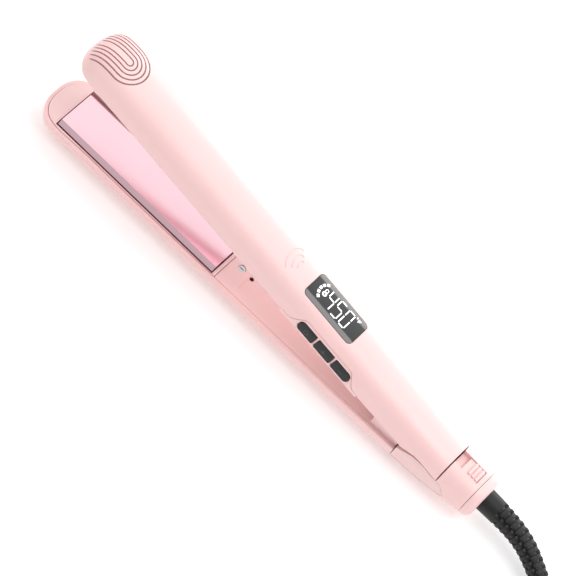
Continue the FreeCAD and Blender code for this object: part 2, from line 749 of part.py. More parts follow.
def cord_hank():
    """The outer form of the folded lead."""
    body = stadium(0.0, HANK_BOTTOM, HANK_HEIGHT)
    rims = [e for e in body.Edges if abs(e.tangentAt(e.FirstParameter).z) < 0.1]
    return body.makeFillet(HANK_ROUNDING, rims)


def hank_tie():
    """A flat band around the hank."""
    height = HANK_HEIGHT + 2 * TIE_THICKNESS
    outer = stadium(TIE_THICKNESS, 0.0, height)
    inner = stadium(0.0, TIE_THICKNESS, HANK_HEIGHT)
    ring = outer.cut(inner)
    window = Part.makeBox(TIE_WIDTH, 200, 60, FreeCAD.Vector(at(TIE_STATION), -100, -10))
    return ring.common(window)


def plug_body():
    """A two-blade plug with a small round collar."""
    start, end = PLUG_BODY
    corner = vector(start, PLUG_Y - PLUG_WIDTH / 2, PLUG_Z - PLUG_HEIGHT / 2)
    box = Part.makeBox(end - start, PLUG_WIDTH, PLUG_HEIGHT, corner)
    box = box.makeFillet(3.0, [e for e in box.Edges
                               if e.CenterOfMass.x < at(end) - 1])
    collar_start, collar_end = PLUG_COLLAR
    axis = FreeCAD.Vector(1, 0, 0)
    collar = Part.makeCone(CORD_DIAMETER / 2 + 0.6, 5.6, collar_end - collar_start + 1,
                           vector(collar_start, PLUG_Y, PLUG_Z), axis)
    return box.fuse(collar).removeSplitter()


def plug_blades():
    blades = []
    for side in (-1, 1):
        centre = PLUG_Y + side * BLADE_SPACING / 2
        corner = vector(PLUG_BODY[1], centre - BLADE_THICKNESS / 2, PLUG_Z - BLADE_WIDTH / 2)
        blade = Part.makeBox(BLADE_LENGTH, BLADE_THICKNESS, BLADE_WIDTH, corner)
        hole = Part.makeCylinder(1.6, 10, vector(PLUG_BODY[1] + 13, centre - 5, PLUG_Z), Y_AXIS)
        blades.append(blade.cut(hole))
    return compound(blades)


# ---------------------------------------------------------------------- output
def lower_parts():
    parts = {
        "lower_outer_shell": lower_outer_shell(),
        "lower_inner_cover": lower_inner_cover(),
        "lower_spring_seat": lower_spring_seat(),
        "lower_cover_screw": screw(SCREW_HOLES[0][0], 0, -1, 7.0),
        "opening_spring": opening_spring(),
        "tail_housing": tail_housing(),
        "hinge_cover_left": hinge_cheek(-1),
        "hinge_cover_right": hinge_cheek(1),
        "hinge_pin": hinge_pin(),
        "hinge_washers": hinge_washers(),
        "lock_slider": lock_slider(),
        "end_cap": end_cap(),
        "lead_bush": lead_bush(),
        "strain_relief": strain_relief(),
        "mains_lead": lead_tube(LEAD_ROUTE),
        "plug_lead": lead_tube(PLUG_ROUTE),
        "cord_hank": cord_hank(),
        "hank_tie": hank_tie(),
        "plug_body": plug_body(),
        "plug_blades": plug_blades(),
    }
    for name, shape in plate_stack(-1).items():
        parts["lower_" + name] = shape
    return parts


def upper_parts():
    parts = {
        "upper_outer_shell": upper_outer_shell(),
        "upper_inner_cover": upper_inner_cover(),
        "upper_cover_screw": screw(SCREW_HOLES[0][0], 0, 1, 7.0),
        "upper_hinge_bracket": upper_hinge_bracket(),
        "button_panel": button_panel(),
        "button_switches": button_switches(),
        "display_window": display_window(),
        "display_module": display_module(),
        "control_board": control_board(),
    }
    for name in BUTTON_STATIONS:
        parts[name] = button(name)
    for name, shape in plate_stack(1).items():
        parts["upper_" + name] = shape
    return parts


os.makedirs("parts", exist_ok=True)
for part_name, part_shape in lower_parts().items():
    save(part_name, part_shape)
for part_name, part_shape in upper_parts().items():
    save(part_name, swung_open(part_shape))
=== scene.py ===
"""Looks of the flat iron: materials for its CAD parts, the cord with its relief, tie and
plug, the display's lit segments, dark strips in the groove floors and the studio around it.

Units are metres in the CAD frame.  A "station" is a distance in millimetres
along the closed iron, counted from a little before the tips, and place() turns station, y
and height into a point.
"""
import json
import math
import bpy
import bmesh
from mathutils import Matrix, Vector
from mathutils.bvhtree import BVHTree


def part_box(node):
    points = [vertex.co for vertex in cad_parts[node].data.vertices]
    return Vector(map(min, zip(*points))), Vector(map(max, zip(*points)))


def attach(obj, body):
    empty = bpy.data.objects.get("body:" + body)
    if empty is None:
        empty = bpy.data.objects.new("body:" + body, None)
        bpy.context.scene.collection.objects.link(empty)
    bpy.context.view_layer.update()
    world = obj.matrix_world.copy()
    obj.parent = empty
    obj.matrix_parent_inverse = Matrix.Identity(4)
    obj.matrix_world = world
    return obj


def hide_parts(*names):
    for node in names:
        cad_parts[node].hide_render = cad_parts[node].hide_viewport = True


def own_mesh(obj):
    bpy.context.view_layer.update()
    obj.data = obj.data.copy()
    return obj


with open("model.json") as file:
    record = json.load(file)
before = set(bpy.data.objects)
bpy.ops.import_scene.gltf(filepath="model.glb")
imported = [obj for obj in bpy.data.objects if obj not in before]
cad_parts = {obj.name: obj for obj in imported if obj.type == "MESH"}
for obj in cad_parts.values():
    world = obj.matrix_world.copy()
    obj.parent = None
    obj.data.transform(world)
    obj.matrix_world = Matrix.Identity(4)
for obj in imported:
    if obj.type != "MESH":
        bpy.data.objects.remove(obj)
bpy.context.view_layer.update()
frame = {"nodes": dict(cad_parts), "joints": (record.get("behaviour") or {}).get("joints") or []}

MM = 0.001
ORIGIN_STATION = 130.0
nodes = frame["nodes"]
hinge = next(joint for joint in frame["joints"] if joint["name"] == "arm_hinge")
PIVOT = Vector(hinge["pos_m"])
OPEN_ANGLE = math.radians(hinge["range_deg"][1])
OPEN = Matrix.Translation(PIVOT) @ Matrix.Rotation(OPEN_ANGLE, 4, "Y") @ Matrix.Translation(-PIVOT)


def place(station, y, height):
    """A point from its station, y and height above the floor, all in millimetres."""
    return Vector((station - ORIGIN_STATION, y, height)) * MM


# ------------------------------------------------------------------- materials
class Shader:
    """A Principled material with helpers for noise-driven colour, roughness and bump."""

    def __init__(self, name, colour, roughness, **sockets):
        self.material = bpy.data.materials.new(name)
        self.material.use_nodes = True
        self.nodes = self.material.node_tree.nodes
        self.links = self.material.node_tree.links
        self.shader = self.nodes["Principled BSDF"]
        self.colour = colour
        self.roughness = roughness
        self.shader.inputs["Base Color"].default_value = (*colour, 1)
        self.shader.inputs["Roughness"].default_value = roughness
        for socket, value in sockets.items():
            self.shader.inputs[socket.replace("_", " ")].default_value = value
        self.coordinates = self.nodes.new("ShaderNodeTexCoord").outputs["Object"]
        self.last_normal = None

    def noise(self, scale, detail=2.0, stretch=(1, 1, 1)):
        mapping = self.nodes.new("ShaderNodeMapping")
        mapping.inputs["Scale"].default_value = stretch
        self.links.new(self.coordinates, mapping.inputs["Vector"])
        texture = self.nodes.new("ShaderNodeTexNoise")
        texture.inputs["Scale"].default_value = scale
        texture.inputs["Detail"].default_value = detail
        self.links.new(mapping.outputs["Vector"], texture.inputs["Vector"])
        return texture.outputs["Fac"]

    def ramp(self, source, low, high, start=0.35, end=0.65):
        ramp = self.nodes.new("ShaderNodeValToRGB")
        ramp.color_ramp.elements[0].position = start
        ramp.color_ramp.elements[1].position = end
        ramp.color_ramp.elements[0].color = (*low, 1)
        ramp.color_ramp.elements[1].color = (*high, 1)
        self.links.new(source, ramp.inputs["Fac"])
        return ramp.outputs["Color"]

    def mottle(self, scale, amount, stretch=(1, 1, 1)):
        """Lets the base colour drift a little lighter and darker."""
        low = [c * (1 - amount) for c in self.colour]
        high = [min(1.0, c * (1 + amount)) for c in self.colour]
        self.links.new(self.ramp(self.noise(scale, 3.0, stretch), low, high),
                       self.shader.inputs["Base Color"])
        return self

    def smudge(self, scale, amount, stretch=(1, 1, 1)):
        """Lets the roughness drift, as handling and moulding leave it."""
        spread = self.nodes.new("ShaderNodeMapRange")
        spread.inputs["From Min"].default_value = 0.3
        spread.inputs["From Max"].default_value = 0.7
        spread.inputs["To Min"].default_value = self.roughness - amount
        spread.inputs["To Max"].default_value = self.roughness + amount
        self.links.new(self.noise(scale, 4.0, stretch), spread.inputs["Value"])
        self.links.new(spread.outputs["Result"], self.shader.inputs["Roughness"])
        return self

    def bump(self, source, distance, strength=1.0):
        bump = self.nodes.new("ShaderNodeBump")
        bump.inputs["Distance"].default_value = distance
        bump.inputs["Strength"].default_value = strength
        self.links.new(source, bump.inputs["Height"])
        if self.last_normal is not None:
            self.links.new(self.last_normal, bump.inputs["Normal"])
        self.last_normal = bump.outputs["Normal"]
        self.links.new(self.last_normal, self.shader.inputs["Normal"])
        return self

    def grain(self, scale, distance, strength=1.0, stretch=(1, 1, 1)):
        return self.bump(self.noise(scale, 2.0, stretch), distance, strength)


def make_materials():
    made = {}

    def add(name, colour, roughness, **sockets):
        made[name] = Shader(name, colour, roughness, **sockets)
        return made[name]

    add("pink_paint", (0.95, 0.640, 0.630), 0.34, Coat_Weight=0.12, Coat_Roughness=0.12,
        Specular_IOR_Level=0.45).mottle(18, 0.012).smudge(45, 0.05).grain(1500, 0.00002, 0.25)
    add("pink_matt", (0.92, 0.655, 0.645), 0.52).mottle(30, 0.015).smudge(70, 0.05).grain(
        2600, 0.00003, 0.35)
    # dark colour for the strips laid in the floors of the channels over the upper tip
    add("groove_floor_dark", (0.31, 0.175, 0.170), 0.5).mottle(200, 0.05).grain(3000, 0.00002, 0.4)
    add("plate_coating", (0.92, 0.63, 0.70), 0.19, Metallic=1.0).mottle(25, 0.02).smudge(
        60, 0.03, (0.15, 3, 1)).grain(900, 0.000004, 0.3, (0.05, 6, 1))
    add("ceramic", (0.86, 0.85, 0.82), 0.7).mottle(200, 0.04).grain(2500, 0.00003, 0.5)
    add("steel", (0.60, 0.60, 0.62), 0.28, Metallic=1.0).mottle(300, 0.04).smudge(
        200, 0.08, (0.2, 4, 1)).grain(1200, 0.00001, 0.4, (0.1, 8, 1))
    add("silicone", (0.62, 0.16, 0.11), 0.55).mottle(300, 0.05).grain(1800, 0.00003, 0.4)
    add("carrier_plastic", (0.70, 0.66, 0.60), 0.5).mottle(120, 0.03).grain(2200, 0.00003, 0.4)
    add("nylon", (0.86, 0.85, 0.80), 0.45).mottle(150, 0.02).grain(2200, 0.00003, 0.3)
    add("black_rubber", (0.012, 0.012, 0.013), 0.48, Specular_IOR_Level=0.35).mottle(
        90, 0.18).smudge(120, 0.06).grain(2400, 0.00004, 0.5)
    add("button_rubber", (0.018, 0.019, 0.020), 0.5, Specular_IOR_Level=0.4).mottle(
        120, 0.12).smudge(150, 0.05).grain(2600, 0.00003, 0.5)
    add("button_mark", (0.075, 0.077, 0.08), 0.5).mottle(300, 0.08).grain(2600, 0.00002, 0.4)
    add("smoked_glass", (0.013, 0.014, 0.015), 0.10, Coat_Weight=0.6, Coat_Roughness=0.04,
        Specular_IOR_Level=0.6).mottle(60, 0.1).smudge(30, 0.03)
    add("display_plastic", (0.03, 0.03, 0.035), 0.4).mottle(100, 0.1).grain(2000, 0.00002, 0.4)
    add("solder_mask", (0.012, 0.13, 0.05), 0.35).mottle(180, 0.15).grain(1500, 0.00002, 0.5)
    add("brass", (0.80, 0.60, 0.27), 0.22, Metallic=1.0).mottle(250, 0.05).smudge(
        300, 0.06, (0.2, 4, 1)).grain(1500, 0.000006, 0.4, (0.1, 8, 1))
    add("lit_white", (0.95, 0.96, 0.97), 0.4, Emission_Strength=0.9,
        Emission_Color=(1, 1, 1, 1)).mottle(400, 0.02)
    add("tie_webbing", (0.022, 0.022, 0.025), 0.8, Sheen_Weight=0.35,
        Sheen_Roughness=0.5).mottle(700, 0.3).grain(1700, 0.00025, 0.8)
    add("floor", (0.90, 0.90, 0.90), 0.75, Emission_Color=(1, 1, 1, 1),
        Emission_Strength=0.24).mottle(3, 0.004).grain(300, 0.00002, 0.1)
    return {name: shader.material for name, shader in made.items()}


NODE_MATERIALS = {
    "pink_paint": ("lower_outer_shell", "upper_outer_shell", "tail_housing", "end_cap",
                   "lock_slider", "button_panel"),
    "pink_matt": ("lower_inner_cover", "upper_inner_cover", "hinge_cover_left",
                  "hinge_cover_right", "lower_plate_frame", "upper_plate_frame"),
    "plate_coating": ("lower_plate", "upper_plate"),
    "ceramic": ("lower_heater", "upper_heater"),
    "steel": ("lower_heater_clamp", "upper_heater_clamp", "lower_cover_screw",
              "upper_cover_screw", "upper_hinge_bracket", "hinge_pin"),
    "silicone": ("lower_plate_pads", "upper_plate_pads"),
    "carrier_plastic": ("lower_plate_carrier", "upper_plate_carrier"),
    "nylon": ("lower_spring_seat", "hinge_washers", "lead_bush"),
    "button_rubber": ("power_button", "plus_button", "minus_button"),
    "smoked_glass": ("display_window",),
    "display_plastic": ("display_module",),
    "solder_mask": ("button_switches", "control_board"),
    "brass": ("plug_blades",),
}
materials = make_materials()
for material_name, node_names in NODE_MATERIALS.items():
    for node_name in node_names:
        mesh = nodes[node_name].data
        mesh.materials.clear()
        mesh.materials.append(materials[material_name])


# --------------------------------------------------------------- piece helpers
def new_piece(name, data, body, slot, material, *replaced):
    """Links a mesh or curve as a piece that rides on a body."""
    piece = bpy.data.objects.new(name, data)
    bpy.context.scene.collection.objects.link(piece)
    data.materials.append(materials[material])
    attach(piece, body)
    if replaced:
        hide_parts(*replaced)
    return piece


def mesh_from(name, build):
    """A mesh made by build(bm), with its normals outward and its faces smooth."""
    bm = bmesh.new()
    build(bm)
    bmesh.ops.recalc_face_normals(bm, faces=bm.faces)
    data = bpy.data.meshes.new(name)
    bm.to_mesh(data)
    bm.free()
    data.shade_smooth()
    return data


def skin_rings(bm, rings, closed=False):
    """Joins rings of equally many points with quads, and caps the ends."""
    loops = [[bm.verts.new(point) for point in ring] for ring in rings]
    pairs = list(zip(loops, loops[1:]))
    if closed:
        pairs.append((loops[-1], loops[0]))
    for low, high in pairs:
        for index in range(len(low)):
            after = (index + 1) % len(low)
            bm.faces.new((low[index], low[after], high[after], high[index]))
    if not closed:
        bm.faces.new(loops[0][::-1])
        bm.faces.new(loops[-1])


# ------------------------------------------------------------------------ cord
CORD_DIAMETER = 6.5
LEAD_POINTS = [(286.0, 0.0, 15.35), (301.0, 0.0, 15.35), (318.0, -1.0, 13.6),
               (334.0, -6.5, 8.9), (344.0, -11.5, 6.4), (354.0, -16.5, 3.9),
               (366.0, -21.0, 3.6), (378.0, -24.2, 4.3), (389.0, -25.6, 4.3)]
PLUG_POINTS = [(380.0, -8.5, 23.9), (386.5, -15.5, 23.9), (395.0, -20.5, 25.0),
               (404.0, -22.6, 27.4), (411.0, -22.6, 27.6)]
HANK_Y = 2.0
NEAR_CENTRE = 399.0
FAR_CENTRE = 461.0
OUTER_LANE = 27.6
INNER_LANE = 21.0
LAYERS = (4.25, 10.8, 17.35, 23.9)
LOOP_STEP = 30
LAST_TURN_ANGLES = (195, 221, 247, 273)
# lane and layer of each turn, and at which of the near loop's steps it changes to the next
TURNS = [(OUTER_LANE, LAYERS[0], 4), (INNER_LANE, LAYERS[0], 3), (INNER_LANE, LAYERS[1], 2),
         (OUTER_LANE, LAYERS[1], 1), (OUTER_LANE, LAYERS[2], 0), (INNER_LANE, LAYERS[2], 0)]


def loop_point(centre, lane, height, angle):
    """A control point of a half turn; the spline touches the lane between its points."""
    reach = lane / math.cos(math.radians(LOOP_STEP / 2))
    return (centre + reach * math.sin(math.radians(angle)),
            HANK_Y - reach * math.cos(math.radians(angle)), height)


def hank_points():
    """The folded lead: six turns in two lanes and three layers."""
    points = []
    half_step = LOOP_STEP / 2
    edge = 2 * OUTER_LANE * math.tan(math.radians(half_step))
    first, middle, last = NEAR_CENTRE + edge, (NEAR_CENTRE + FAR_CENTRE) / 2, FAR_CENTRE - edge
    for number, (lane, height, change) in enumerate(TURNS):
        is_last = number == len(TURNS) - 1
        next_lane, next_height = (lane, LAYERS[3]) if is_last else TURNS[number + 1][:2]
        for x in (first, middle, last):
            points.append((x, HANK_Y - lane, height))
        for step in range(6):
            points.append(loop_point(FAR_CENTRE, lane, height, half_step + LOOP_STEP * step))
        early = change == 0
        points.append((last, HANK_Y + lane, height))
        points.append((middle, HANK_Y + lane, next_height if is_last else height))
        points.append((first, HANK_Y + (next_lane if early else lane),
                       next_height if early else height))
        if is_last:
            for angle in LAST_TURN_ANGLES:
                points.append(loop_point(NEAR_CENTRE, lane, next_height, angle))
            continue
        for step in range(6):
            done = early or step >= change
            points.append(loop_point(NEAR_CENTRE, next_lane if done else lane,
                                     next_height if done else height,
                                     180 + half_step + LOOP_STEP * step))
    return points


def cord_curve():
    """The whole lead on one smooth spline, from inside the end cap to the plug."""
    route = [place(*p) for p in LEAD_POINTS + hank_points() + PLUG_POINTS]
    data = bpy.data.curves.new("power_cord", "CURVE")
    data.dimensions = "3D"
    spline = data.splines.new("NURBS")
    spline.points.add(len(route) - 1)
    for point, where in zip(spline.points, route):
        point.co = (*where, 1)
    spline.order_u = 3
    spline.use_endpoint_u = True
    spline.resolution_u = 10
    data.bevel_depth = CORD_DIAMETER / 2 * MM
    data.bevel_resolution = 6
    data.use_fill_caps = True
    return data


def centre_points(curve):
    """The spline's own line, as points in order."""
    bare = curve.copy()
    bare.bevel_depth = 0
    holder = bpy.data.objects.new("bare_line", bare)
    line = bpy.data.meshes.new_from_object(holder)
    points = [vertex.co.copy() for vertex in line.vertices]
    bpy.data.objects.remove(holder)
    return points


def frames_along(points):
    """For each point: its distance along, the line's direction, and two steady side directions."""
    distances = [0.0]
    for before, after in zip(points, points[1:]):
        distances.append(distances[-1] + (after - before).length)
    rows = []
    up = Vector((0, 0, 1))
    for index, point in enumerate(points):
        before = points[max(index - 1, 0)]
        after = points[min(index + 1, len(points) - 1)]
        ahead = (after - before).normalized()
        up = (up - ahead * up.dot(ahead)).normalized()
        rows.append((distances[index], point, ahead, up, ahead.cross(up)))
    return rows


def frame_at(rows, distance):
    """The line's frame at a distance along it, between its points."""
    for low, high in zip(rows, rows[1:]):
        if high[0] >= distance:
            share = (distance - low[0]) / max(high[0] - low[0], 1e-9)
            blended = [a.lerp(b, share) for a, b in zip(low[1:], high[1:])]
            return [blended[0]] + [v.normalized() for v in blended[1:]]
    return list(rows[-1][1:])


RELIEF_LENGTH = 58.5
RELIEF_ROOT_RADIUS = 6.4
RELIEF_END_RADIUS = 4.7
RELIEF_SMOOTH = 12.5
RELIEF_SMOOTH_STEPS = 10
RELIEF_PLAIN_END = 4.0
RELIEF_END_ROLL = 0.7
RIB_PITCH = 3.6
SLOT_LENGTH = 1.7
SLOT_DEPTH = 1.75
SLOT_EDGE = 0.12
# how far round the sleeve a slot reaches, and how gently it ends there
SLOT_REACH = 0.62
SLOT_BLEND = 0.06
RELIEF_SIDES = 72


def relief_rings(rows):
    """A tapered sleeve with slots, above and below in turn with left and right."""
    stations = []
    slots = []
    count = int((RELIEF_LENGTH - RELIEF_SMOOTH - RELIEF_PLAIN_END) / (RIB_PITCH / 2))
    for number in range(count):
        start = RELIEF_SMOOTH + number * RIB_PITCH / 2
        slots.append((start, number % 2))
        for offset in (0, SLOT_EDGE, SLOT_LENGTH / 2, SLOT_LENGTH - SLOT_EDGE, SLOT_LENGTH):
            stations.append(start + offset)
    for step in range(RELIEF_SMOOTH_STEPS):
        stations.append(RELIEF_SMOOTH * step / RELIEF_SMOOTH_STEPS)
    end_roll = RELIEF_END_ROLL
    for drop in (RELIEF_PLAIN_END, 2.5, 1.6, end_roll, end_roll * 0.5, end_roll * 0.15, 0.0):
        stations.append(RELIEF_LENGTH - drop)
    rings = []
    for along in sorted(set(round(s, 4) for s in stations)):
        centre, _, up, side = frame_at(rows, along * MM)
        part = along / RELIEF_LENGTH
        radius = RELIEF_ROOT_RADIUS + part * (RELIEF_END_RADIUS - RELIEF_ROOT_RADIUS)
        left = max(0.0, along - (RELIEF_LENGTH - end_roll)) / end_roll
        radius -= end_roll * (1 - math.sqrt(max(0.0, 1 - left ** 2)))
        ring = []
        for index in range(RELIEF_SIDES):
            angle = 2 * math.pi * index / RELIEF_SIDES
            cut = 0.0
            for start, turn in slots:
                inside = start + SLOT_EDGE * 0.9 <= along <= start + SLOT_LENGTH - SLOT_EDGE * 0.9
                if not inside:
                    continue
                facing = abs(math.cos(angle)) if turn == 0 else abs(math.sin(angle))
                cut = max(cut, min(1.0, max(0.0, (facing - SLOT_REACH) / SLOT_BLEND)))
            reach = radius - SLOT_DEPTH * cut
            ring.append(centre + (up * math.cos(angle) + side * math.sin(angle)) * reach * MM)
        rings.append(ring)
    return rings


TIE_STATION = 463.0
TIE_WIDTH = 6.0
TIE_HEIGHT = 21.6
TIE_HALF_SPAN = 32.0
TIE_CORNER = 4.2
TIE_INSET = 0.15
TIE_THICKNESS = 0.8


def tie_loop(bm):
    """A woven strap round the hank."""
    def loop(grow):
        corner = TIE_CORNER + grow
        half = TIE_HALF_SPAN + grow - TIE_INSET
        low, high = TIE_INSET - grow, TIE_HEIGHT + grow - TIE_INSET
        section = []
        for centre_y, centre_z, first in ((half - corner, high - corner, 0),
                                          (-half + corner, high - corner, 90),
                                          (-half + corner, low + corner, 180),
                                          (half - corner, low + corner, 270)):
            for step in range(7):
                angle = math.radians(first + 15 * step)
                section.append((HANK_Y + centre_y + corner * math.cos(angle),
                                centre_z + corner * math.sin(angle)))
        return [[place(x, y, z) for y, z in section]
                for x in (TIE_STATION, TIE_STATION + TIE_WIDTH)]

    outer = loop(0.0)
    inner = loop(-TIE_THICKNESS)
    rings = [outer[0], outer[1], inner[1], inner[0]]
    skin_rings(bm, rings, closed=True)


PLUG_SIDES = 64


def plug_rings():
    """The plug's collar, shoulder and body, with finger grips, towards its blades."""
    profile = [(404.2, 3.9, 3.9, 2.0), (406.0, 4.15, 4.15, 2.0), (411.0, 4.7, 4.7, 2.0),
               (416.0, 5.3, 5.2, 2.0), (418.6, 6.3, 5.7, 2.2), (420.2, 8.6, 6.2, 2.6),
               (421.4, 10.4, 6.6, 3.2), (423.0, 11.4, 6.9, 3.8), (425.0, 11.8, 7.0, 4.2)]
    for number in range(3):
        start = 426.6 + 3.2 * number
        profile += [(start, 11.8, 7.0, 4.4), (start + 0.4, 11.1, 6.9, 4.4),
                    (start + 1.6, 11.1, 6.9, 4.4), (start + 2.0, 11.8, 7.0, 4.4)]
    profile += [(437.5, 11.9, 7.0, 4.6), (440.8, 11.9, 7.0, 4.6), (441.7, 11.6, 6.7, 4.6),
                (442.0, 11.0, 6.1, 4.6)]
    rings = []
    for station, half_width, half_height, power in profile:
        ring = []
        for index in range(PLUG_SIDES):
            angle = 2 * math.pi * index / PLUG_SIDES
            across, up = math.cos(angle), math.sin(angle)
            y = math.copysign(abs(across) ** (2 / power), across) * half_width
            z = math.copysign(abs(up) ** (2 / power), up) * half_height
            ring.append(place(station, PLUG_POINTS[-1][1] + y, PLUG_POINTS[-1][2] + z))
        rings.append(ring)
    return rings


SHARP_ANGLE = math.radians(40)
cord_data = cord_curve()
cord = new_piece("power_cord", cord_data, "lower_arm", "black_rubber", "black_rubber",
                 "mains_lead", "plug_lead", "cord_hank")
cord_frames = frames_along(centre_points(cord_data))
relief_data = mesh_from("cord_relief", lambda bm: skin_rings(bm, relief_rings(cord_frames)))
relief = new_piece("cord_relief", relief_data, "lower_arm", "black_rubber", "black_rubber",
                   "strain_relief")
relief_data.set_sharp_from_angle(angle=SHARP_ANGLE)
tie = new_piece("cord_tie", mesh_from("cord_tie", tie_loop), "lower_arm", "black_rubber",
                "tie_webbing", "hank_tie")
tie.data.set_sharp_from_angle(angle=SHARP_ANGLE)
plug = new_piece("cord_plug", mesh_from("cord_plug", lambda bm: skin_rings(bm, plug_rings())),
                 "lower_arm", "black_rubber", "black_rubber", "plug_body")
plug.data.set_sharp_from_angle(angle=SHARP_ANGLE)


# ---------------------------------------------------- marks laid on the surface
class Surface:
    """Finds points on CAD nodes, looking down on the upper arm or in from its button side."""

    def __init__(self, node_names, from_side=False):
        self.trees = []
        for name in node_names:
            data = nodes[name].data
            self.trees.append(BVHTree.FromPolygons([v.co for v in data.vertices],
                                                   [tuple(p.vertices) for p in data.polygons]))
        self.from_side = from_side

    def find(self, station, across):
        """The outermost point and its normal at a station and y, or a station and level."""
        if self.from_side:
            start = place(station, -60, PIVOT.z / MM + across)
            direction = Vector((0, 1, 0))
        else:
            start = place(station, across, 80)
            direction = Vector((0, 0, -1))
        start, direction = OPEN @ start, OPEN.to_3x3() @ direction
        best = None
        for tree in self.trees:
            hit, normal, _, distance = tree.ray_cast(start, direction)
            if hit is not None and (best is None or distance < best[2]):
                best = (hit, normal if normal.dot(direction) < 0 else -normal, distance)
        return best[:2]


def ribbon(bm, surface, path, width, rise, sink=0.15, closed=False):
    """A thin band along a path of (station, across) points, following the surface."""
    rings = []
    count = len(path)
    for index, (station, across) in enumerate(path):
        before = path[index - 1] if index or closed else path[0]
        after = path[(index + 1) % count] if index + 1 < count or closed else path[-1]
        along = Vector((after[0] - before[0], after[1] - before[1])).normalized()
        ring = []
        for side in (1, -1):
            point, normal = surface.find(station - along.y * side * width / 2,
                                         across + along.x * side * width / 2)
            corners = [point + normal * rise * MM, point - normal * sink * MM]
            ring += corners if side == 1 else corners[::-1]
        rings.append(ring)
    skin_rings(bm, rings, closed)


def line(start, end, steps=6):
    return [(start[0] + (end[0] - start[0]) * k / steps, start[1] + (end[1] - start[1]) * k / steps)
            for k in range(steps + 1)]


def arc(centre, radius, first, last, steps=16):
    angles = [math.radians(first + (last - first) * k / steps) for k in range(steps + 1)]
    return [(centre[0] + radius * math.cos(a), centre[1] + radius * math.sin(a)) for a in angles]


GROOVE_CENTRE = 19.0
GROOVE_RADII = (2.0, 4.3, 6.6, 8.9, 11.2)
GROOVE_WIDTH = 0.66
GROOVE_TIPS = (2.7, 2.9, 3.3, 4.3, 6.0)


def groove_floor_strips(bm):
    """Dark strips laid in the floors of the five nested channels over the upper tip."""
    surface = Surface(["upper_outer_shell"])
    for radius, tip in zip(GROOVE_RADII, GROOVE_TIPS):
        near = line((tip, -radius), (GROOVE_CENTRE, -radius), 40)
        far = line((GROOVE_CENTRE, radius), (tip, radius), 40)
        bend = arc((GROOVE_CENTRE, 0.0), radius, -90, 90, 24)
        ribbon(bm, surface, near + bend[1:-1] + far, GROOVE_WIDTH, 0.06)


# display layout: stations and y of the lit marks
DIGIT_STARTS = (165.75, 171.6, 177.5)
DIGIT_WIDTH = 3.95
DIGIT_LOW, DIGIT_MIDDLE, DIGIT_HIGH = -4.7, 0.8, 5.4
SEGMENT_WIDTH = 0.62
SEGMENT_GAP = 0.42
SEGMENTS = {"4": "fgbc", "5": "afgcd", "0": "abcdef"}
MARK_RISE = 0.06
BAR_CENTRE = (165.7, 0.8)
BAR_RADIUS = 5.86
BAR_WIDTH = 1.45
BAR_STEP_ANGLE = 23.5
BAR_HALF_ANGLE = 8
PADLOCK = (163.3, -0.1)
SHACKLE_RADIUS = 0.75
UNIT_STROKE = 0.34
UNIT_LINES = [((184.1, 5.9), (184.1, 3.9)), ((184.1, 5.75), (185.6, 5.75)),
              ((184.1, 4.85), (185.3, 4.85))]


def digit_segments(start):
    """The seven segments' ends, by their usual letters."""
    end, low, mid, high = start + DIGIT_WIDTH, DIGIT_LOW, DIGIT_MIDDLE, DIGIT_HIGH
    g = SEGMENT_GAP
    return {
        "a": ((start + g, high), (end - g, high)),
        "b": ((end, high - g), (end, mid + g)),
        "c": ((end, mid - g), (end, low + g)),
        "d": ((start + g, low), (end - g, low)),
        "e": ((start, mid - g), (start, low + g)),
        "f": ((start, high - g), (start, mid + g)),
        "g": ((start + g, mid), (end - g, mid)),
    }


def display_marks(bm):
    """Lit marks: a bar arc, a padlock, a three-figure temperature and its unit."""
    surface = Surface(["display_window"])
    for start, figure in zip(DIGIT_STARTS, "450"):
        for letter in SEGMENTS[figure]:
            ribbon(bm, surface, line(*digit_segments(start)[letter]), SEGMENT_WIDTH, MARK_RISE)
    for number in range(5):
        middle = 180 + BAR_STEP_ANGLE * (number - 2)
        bar = arc(BAR_CENTRE, BAR_RADIUS, middle - BAR_HALF_ANGLE, middle + BAR_HALF_ANGLE, 4)
        ribbon(bm, surface, bar, BAR_WIDTH, MARK_RISE)
    x, y = PADLOCK
    ribbon(bm, surface, arc(PADLOCK, 0.95, 0, 348, 14), 0.8, MARK_RISE, closed=True)
    left, right = x - SHACKLE_RADIUS, x + SHACKLE_RADIUS
    shackle = (line((left, y + 1.2), (left, y + 2.3), 3)
               + arc((x, y + 2.35), SHACKLE_RADIUS, 180, 0, 8)
               + line((right, y + 2.3), (right, y + 1.2), 3))
    ribbon(bm, surface, shackle, 0.38, MARK_RISE)
    ribbon(bm, surface, arc((182.9, 5.75), 0.34, 0, 330, 11), 0.24, MARK_RISE, closed=True)
    for stroke in UNIT_LINES:
        ribbon(bm, surface, line(*stroke), UNIT_STROKE, MARK_RISE)


BUTTON_LEVEL = 4.6
BUTTON_RISE = 0.05
POWER_STROKE = 0.3
SIGN_STROKE = 0.34
BUTTON_MARKS = {"power_button": 171.6, "plus_button": 184.1, "minus_button": 196.6}


def button_mark(name):
    """A raised power sign, plus or minus in the middle of a button."""
    centre = (BUTTON_MARKS[name], BUTTON_LEVEL)
    surface = Surface([name], from_side=True)

    def build(bm):
        x, level = centre
        if name == "power_button":
            ribbon(bm, surface, arc(centre, 1.15, 130, 410, 24), POWER_STROKE, BUTTON_RISE)
            ribbon(bm, surface, line((x, level + 0.3), (x, level + 1.6)), POWER_STROKE, BUTTON_RISE)
        else:
            across = line((x - 1.3, level), (x + 1.3, level))
            ribbon(bm, surface, across, SIGN_STROKE, BUTTON_RISE)
        if name == "plus_button":
            for low, high in ((0.2, 1.3), (-1.3, -0.2)):
                upright = line((x, level + low), (x, level + high))
                ribbon(bm, surface, upright, SIGN_STROKE, BUTTON_RISE)
    return build
